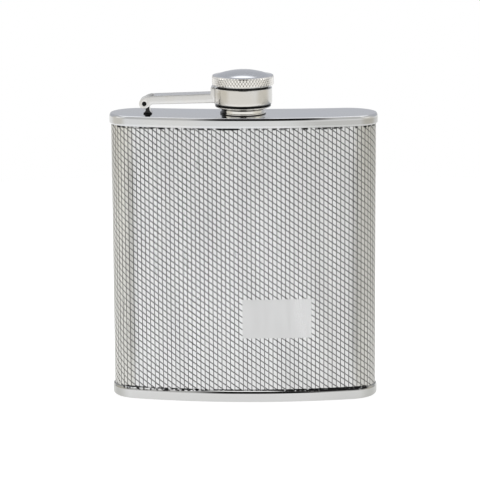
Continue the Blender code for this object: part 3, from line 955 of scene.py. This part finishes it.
class FLASK_OT_hinge(Operator):
    """Make the post and the hinge pin"""

    bl_idname = "flask.hinge"
    bl_label = "Hinge"

    def execute(self, context):
        steel = context.scene.flask_steel
        pin = middle_of("hinge_pin")
        post_x = middle_of("post_washer").x
        width = size_of("pivot_post").y
        foot, neck, eye = 1.5 * MM, 0.7 * MM, 1.35 * MM
        lean = pin.x - post_x
        right = [
            (foot, 0), (foot, 0.35 * MM), (neck + 0.25 * MM, 0.7 * MM), (neck, 1.2 * MM),
            (neck - 0.1 * MM, 2.2 * MM),
        ]
        left = [
            (-neck - 0.1 * MM, 2.2 * MM), (-neck, 1.2 * MM), (-neck - 0.25 * MM, 0.7 * MM),
            (-foot, 0.35 * MM),
        ]
        head = arc((lean, pin.z - COVER_TOP), eye, math.radians(-25), math.radians(230), 32)
        outline = [(-foot, 0)] + right + head + left
        outline = [(x + post_x, z + COVER_TOP) for x, z in outline]
        plate = side_plate("post_plate", outline, width)
        tongue = cut(plate, [(rod("pin_hole", 0.7 * MM, -width, width, "Y"), pin)], bevel=0.15 * MM)
        stem_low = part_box("pivot_post")[0].z
        head_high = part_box("post_washer")[0].z - 0.02 * MM
        stem = turned("rivet", rounded([
            (0, COVER_TOP - 0.01 * MM), (1.0 * MM, COVER_TOP - 0.01 * MM), (1.0 * MM, head_high),
            (1.9 * MM, head_high, FINE), (1.9 * MM, stem_low, SOFT), (0, stem_low),
        ]), closed=False, steps=48)
        for vertex in stem.vertices:
            vertex.co.x += post_x
        surface = steel_surface(
            "post_finish", steel.tint, 0.25, "across", 0.3, steel.warm_tint, 0.002
        )
        # Painted shade: the post's front and back faces nearly black
        outward = maths("ABSOLUTE", object_axes(surface)[1])
        tint_where(surface, ramp(outward, 0.4 * width, 0.46 * width), steel.post_tint, 0.25)
        mesh = joined("hinge_post", [tongue, stem])
        add_piece("hinge_post", mesh, "flask", "post_steel", surface, "pivot_post")
        half = size_of("hinge_pin").y / 2
        shaft = turned("pin_shaft", rounded([
            (0, half), (0.65 * MM, half, 0.2 * MM), (0.65 * MM, -half, 0.2 * MM), (0, -half),
        ]), closed=False, steps=32)
        shaft.transform(Matrix.Translation(pin) @ Matrix.Rotation(math.pi / 2, 4, "X"))
        # Painted shade: the pin nearly black
        dark = steel_surface(
            "pin_finish", steel.shadow_tint, 0.35, "across", 0.35, steel.line_tint, 0.003
        )
        add_piece("pivot_pin", shaft, "flask", "pin_steel", dark, "hinge_pin")
        paint(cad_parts["post_washer"].data, surface)
        return {"FINISHED"}


class FLASK_OT_arm(Operator):
    """Form the arm and the captive ring"""

    bl_idname = "flask.arm"
    bl_label = "Captive arm"

    def execute(self, context):
        steel = context.scene.flask_steel
        pin = middle_of("hinge_pin")
        low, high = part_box("captive_arm")
        ring_low, ring_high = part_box("captive_ring")
        ring_radius = (ring_high.x - ring_low.x) / 2
        width, wall, web, ear = high.y - low.y, 0.9 * MM, 0.7 * MM, 1.8 * MM
        slot = -31.0 * MM - pin.x
        tab = -11.1 * MM - pin.x
        floor_left, floor_right = -0.15 * MM, 0.35 * MM
        roof_left, roof_right = 2.8 * MM, 3.45 * MM
        end = -pin.x - ring_radius + 1.3 * MM
        tab_top = high.z - pin.z
        outline = rounded([
            (end, floor_right), (end, tab_top), (tab, tab_top, 0.35 * MM), (tab, roof_right, BROAD),
            (slot, roof_left), (0.45 * slot, roof_left - 0.1 * MM, 0.8 * MM),
        ])[:-1]
        outline += [(0.62 * slot, roof_left - 0.02 * MM), (0.35 * slot, roof_left - 0.25 * MM)]
        outline += arc((0, 0), ear, math.radians(112), math.radians(300), 40)
        outline += [(0.55 * slot, -0.95 * MM), (0.8 * slot, floor_left)]
        outline = [(x + pin.x, z + pin.z) for x, z in outline]
        inner, deep = width - 2 * wall, 4 * ear
        channel_end = -12.6 * MM
        channel = [
            (pin.x - deep, pin.z - deep), (channel_end, pin.z - deep),
            (channel_end, pin.z + roof_right - web), (pin.x + slot, pin.z + roof_left - web),
            (pin.x + slot, pin.z + deep), (pin.x - deep, pin.z + deep),
        ]
        seat, seat_top = ring_radius + 0.06 * MM, COVER_TOP + 30 * MM
        cutters = [
            (side_plate("arm_channel", channel, inner), (0, 0, 0)),
            (rod("ring_seat", seat, COVER_TOP, seat_top, steps=ROUND_STEPS), (0, 0, 0)),
            (rod("ear_hole", 0.75 * MM, -width, width, "Y"), pin),
        ]
        mesh = cut(side_plate("arm_channel_bar", outline, width), cutters, bevel=0.12 * MM)
        surface = steel_surface(
            "arm_finish", steel.tint, steel.polish + 0.05, "along", 0.2, steel.warm_tint
        )
        add_piece("hinged_arm", mesh, "arm", "arm_steel", surface, "captive_arm")
        edge = 0.3 * MM
        bore = ring_radius - 1.3 * MM
        profile = rounded([
            (bore, ring_high.z, EASE), (ring_radius, ring_high.z, edge),
            (ring_radius, ring_high.z - 2 * edge), (ring_radius, ring_low.z + 2 * MM),
            (ring_radius, ring_low.z, 1.0 * MM), (bore, ring_low.z, EASE),
        ], closed=True)
        ring_surface = steel_surface(
            "ring_finish", steel.tint, steel.polish + 0.03, "hooped", 0.2, steel.warm_tint
        )
        x, _, z = object_axes(ring_surface)
        # Painted highlight on the ring's side beside the arm
        tint_where(ring_surface, ramp(x, -7.2 * MM, -9.0 * MM), steel.ring_glint)
        # Painted shade along the ring's lower edge
        under = ramp(z, ring_low.z + 0.75 * MM, ring_low.z + 0.45 * MM)
        tint_where(ring_surface, under, steel.shadow_tint, 0.4)
        mesh = turned("cap_ring", profile)
        add_piece("cap_ring", mesh, "arm", "ring_steel", ring_surface, "captive_ring")
        return {"FINISHED"}


class FLASK_OT_cap(Operator):
    """Make the knurled head, the threaded insert and the seal"""

    bl_idname = "flask.cap"
    bl_label = "Cap"

    def execute(self, context):
        knurl, steel = context.scene.flask_knurl, context.scene.flask_steel
        low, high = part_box("cap_head")
        radius, sheet = high.x, 0.6 * MM
        band_top = low.z + 3.4 * MM
        root = radius - knurl.depth
        ledge = band_top + 0.05 * MM
        dome = dome_points(radius - 1.15 * MM, ledge, high.z, 20)
        inner = dome_points(radius - sheet, ledge - sheet, high.z - sheet, 12)
        side = rounded([
            dome[-1], (root, band_top, 0.06 * MM), (root, low.z + 1.0 * MM), (root, low.z, SOFT),
            (radius - sheet, low.z),
        ])
        shell = turned("head_shell", dome[:-1] + side + inner[::-1], closed=False, steps=120)
        surface = steel_surface("head_finish", steel.dome_tint, steel.polish + 0.06, "even", 0.2)
        # Painted light: the knurled band lighter than the dome
        banded = ramp(object_axes(surface)[2], band_top + 0.01 * MM, band_top - 0.03 * MM)
        tint_where(surface, banded, steel.knurl_tint)
        # Painted shade in the knurl's lines, full at their crossings
        tint_where(surface, cut_mask(surface, 0.15, (0.2, 0.9), (0.15, 0.8)), steel.line_tint, 0.5)
        outline = arc((0, 0), radius, 0, 2 * math.pi, 8 * knurl.columns)
        band_low, band_high = low.z + knurl.chamfer, band_top - 0.04 * MM
        rows = 2 * math.ceil((band_high - band_low) / knurl.row_height) + 2
        points = []
        for row in range(rows):
            points += [(column + 0.5 * (row % 2), 0.5 * row) for column in range(knurl.columns)]
        values = {
            "Cell Side A": (0.5, -0.5, 0.0),
            "Cell Side B": (0.5, 0.5, 0.0),
            "Column Width": perimeter(outline) / knurl.columns,
            "Row Height": knurl.row_height,
            "Line Share": knurl.line_share,
            "Depth": knurl.depth,
            "Low": band_low,
            "High": band_high,
            "Material": surface,
        }
        band = wrapped_cells("knurled_band", points, outline, values)
        band.shade_flat()
        head = joined("knurled_head", [shell, band])
        add_piece("knurled_head", head, "cap", "head_steel", surface, "cap_head")
        self.insert(steel)
        return {"FINISHED"}

    def insert(self, steel):
        """The threaded insert with its lip, the seal, and the plug that holds them in the head."""
        low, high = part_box("cap_insert")
        lip = high.x
        lip_top = low.z + 0.8 * MM
        radius, bore = lip - 1.2 * MM, lip - 1.85 * MM
        roof = high.z - 0.5 * MM
        profile = rounded([
            (0, high.z), (radius, high.z, BROAD), (radius, lip_top, FINE), (lip, lip_top, EASE),
            (lip, lip_top - 0.3 * MM, FINE), (bore + 0.5 * MM, low.z, 0.2 * MM), (bore, low.z, FINE),
            (bore, roof, 0.2 * MM), (0, roof),
        ])
        sleeve = turned("insert_sleeve", profile, closed=False)
        ridge = thread("insert_ridge", bore, bore - 0.5 * MM, THREAD_START)
        surface = steel_surface("insert_finish", steel.tint, 0.14, "round", 0.3, steel.warm_tint)
        # Painted shade on the insert above its lip, in the gap between head and ring
        above_lip = ramp(object_axes(surface)[2], lip_top - 0.1 * MM, lip_top + 0.1 * MM)
        tint_where(surface, above_lip, steel.post_tint, 0.4)
        mesh = shaded(joined("threaded_insert", [sleeve, ridge]))
        add_piece("threaded_insert", mesh, "cap", "insert_steel", surface, "cap_insert")
        seal_low, seal_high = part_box("cap_liner")
        reach = seal_high.x
        profile = rounded([
            (0, seal_high.z), (reach, seal_high.z, EASE), (reach, seal_low.z, SOFT),
            (reach - 2.2 * MM, seal_low.z, 0.2 * MM), (reach - 2.4 * MM, seal_low.z + 0.15 * MM, FINE),
            (0, seal_low.z + 0.15 * MM),
        ])
        rubber = plastic_surface("seal_rubber", (0.72, 0.70, 0.66), 0.55, 0.08)
        mesh = turned("seal_disc", profile, closed=False)
        add_piece("seal_disc", mesh, "cap", "liner_rubber", rubber, "cap_liner")
        plastic = plastic_surface("core_plastic", (0.16, 0.16, 0.17), 0.5, 0.15)
        paint(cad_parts["cap_core"].data, plastic)


def dome_points(radius, low, apex, steps):
    """A shallow dome's half section, from its apex on the axis out to its edge."""
    rise = apex - low
    sphere = (radius**2 + rise**2) / (2 * rise)
    span = math.asin(radius / sphere)
    angles = [span * i / steps for i in range(steps + 1)]
    return [(sphere * math.sin(a), apex - sphere * (1 - math.cos(a))) for a in angles]


class FLASK_OT_stage(Operator):
    """Set the floor, the soft studio light and the camera"""

    bl_idname = "flask.stage"
    bl_label = "Stage"

    def execute(self, context):
        stage = context.scene.flask_stage
        self.floor(stage)
        self.camera(stage)
        studio_world()
        for name, place, size, power in LIGHTS:
            self.light(name, Vector(place), size, power)
        context.scene.view_settings.view_transform = "Standard"
        return {"FINISHED"}

    def floor(self, stage):
        mesh = bpy.data.meshes.new("floor")
        cage = bmesh.new()
        bmesh.ops.create_circle(cage, cap_ends=True, segments=96, radius=stage.floor_size / 2)
        cage.to_mesh(mesh)
        cage.free()
        surface, _, shader = new_surface("floor_finish")
        for key, value in (
            ("Base Color", (*stage.floor, 1)), ("Roughness", 0.9),
            ("Emission Color", WHITE), ("Emission Strength", stage.floor_glow),
        ):
            plug(shader, key, value)
        mesh.materials.append(surface)
        item = linked("floor", mesh)
        item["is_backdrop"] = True

    def camera(self, stage):
        degrees = stage.azimuth, stage.elevation, stage.roll
        azimuth, elevation, roll = (math.radians(angle) for angle in degrees)
        level = math.cos(elevation)
        back = Vector((math.sin(azimuth) * level, -math.cos(azimuth) * level, math.sin(elevation)))
        right = Vector((0, 0, 1)).cross(back).normalized()
        up = back.cross(right)
        turned_right = right * math.cos(roll) + up * math.sin(roll)
        turned_up = up * math.cos(roll) - right * math.sin(roll)
        data = bpy.data.cameras.new("camera")
        data.lens = stage.lens
        item = linked("camera", data)
        place = Matrix.Translation(Vector(stage.target) + back * stage.distance)
        item.matrix_world = place @ Matrix((turned_right, turned_up, back)).transposed().to_4x4()
        bpy.context.scene.camera = item

    def light(self, name, place, size, power):
        data = bpy.data.lights.new(name, "AREA")
        data.shape = "ELLIPSE"
        data.size, data.size_y = size, LIGHT_FLATNESS * size
        data.energy = power
        aim = (Vector(LIGHT_AIM) - place).to_track_quat("-Z", "Y").to_matrix().to_4x4()
        linked(name, data).matrix_world = Matrix.Translation(place) @ aim


def studio_world():
    """White to the camera. Reflections see grey walls, a softbox overhead and a dark card in front."""
    world = bpy.data.worlds.new("studio")
    bpy.context.scene.world = world
    world.use_nodes = True
    tree = world.node_tree
    tree.nodes.clear()
    direction = node(tree, "ShaderNodeTexCoord").outputs["Generated"]
    east, north, up = node(tree, "ShaderNodeSeparateXYZ", Vector=direction).outputs
    forward = maths("MULTIPLY", north, -1.0)
    sideways = maths("ABSOLUTE", east)
    low = ramp(up, 0.06, -0.04)
    front = maths("MAXIMUM", ramp(forward, -0.15, 0.25), low)
    reach = maths("DIVIDE", east, maths("ADD", forward, 1.0))
    reach = maths("ABSOLUTE", maths("SUBTRACT", reach, 0.03))
    card = both(
        ramp(forward, 0.27, 0.37),
        ramp(up, 0.08, 0.16),
        maths("MAXIMUM", ramp(reach, 0.22, 0.1), CARD_OUTER_SHARE),
    )
    softbox = both(
        ramp(up, 0.64, 0.74),
        ramp(sideways, 0.75, 0.6),
        ramp(forward, 0.3, 0.2),
    )
    side = ramp(sideways, 0.75, 0.98)
    wall = mixed(front, BACK_WALL, FRONT_WALL)
    wall = mixed(side, wall, SIDE_WALL)
    shade = maths("SUBTRACT", 1.0, maths("MULTIPLY", card, CARD_DARKNESS))
    strength = maths("MULTIPLY_ADD", softbox, SOFTBOX_GAIN, shade)
    reflected = out(tree, "ShaderNodeBackground", Color=wall, Strength=strength)
    white = out(tree, "ShaderNodeBackground", Color=WHITE, Strength=1.0)
    camera_ray = node(tree, "ShaderNodeLightPath").outputs["Is Camera Ray"]
    mix = node(tree, "ShaderNodeMixShader")
    for key, value in zip("012", (camera_ray, reflected, white)):
        plug(mix, key, value)
    node(tree, "ShaderNodeOutputWorld", Surface=mix.outputs[0])


SETTINGS = (
    ("flask_shape", FlaskShape),
    ("flask_engraving", FlaskEngraving),
    ("flask_knurl", FlaskKnurl),
    ("flask_steel", FlaskSteel),
    ("flask_stage", FlaskStage),
)
OPERATORS = (
    FLASK_OT_engraved_sleeve,
    FLASK_OT_covers,
    FLASK_OT_neck,
    FLASK_OT_hinge,
    FLASK_OT_arm,
    FLASK_OT_cap,
    FLASK_OT_stage,
)


class FLASK_PT_sidebar(Panel):
    """Lists the flask's pieces and their sizes"""

    bl_idname = "FLASK_PT_sidebar"
    bl_label = "Hip flask"
    bl_space_type = "VIEW_3D"
    bl_region_type = "UI"
    bl_category = "Flask"

    def draw(self, context):
        for operator in OPERATORS:
            self.layout.operator(operator.bl_idname)
        for name, group in SETTINGS:
            box = self.layout.box()
            settings = getattr(context.scene, name)
            for key in group.__annotations__:
                box.prop(settings, key)


def register():
    for name, group in SETTINGS:
        bpy.utils.register_class(group)
        setattr(bpy.types.Scene, name, PointerProperty(type=group))
    for item in (*OPERATORS, FLASK_PT_sidebar):
        bpy.utils.register_class(item)


def unregister():
    for item in (FLASK_PT_sidebar, *reversed(OPERATORS)):
        bpy.utils.unregister_class(item)
    for name, group in reversed(SETTINGS):
        delattr(bpy.types.Scene, name)
        bpy.utils.unregister_class(group)


def main():
    register()
    bpy.ops.flask.engraved_sleeve()
    bpy.ops.flask.covers()
    bpy.ops.flask.neck()
    bpy.ops.flask.hinge()
    bpy.ops.flask.arm()
    bpy.ops.flask.cap()
    bpy.ops.flask.stage()
    boxes = {"cad": cad_box, "visual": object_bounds()}
    boxes = {name: [list(map(float, corner)) for corner in box] for name, box in boxes.items()}


if __name__ == "__main__":
    main()
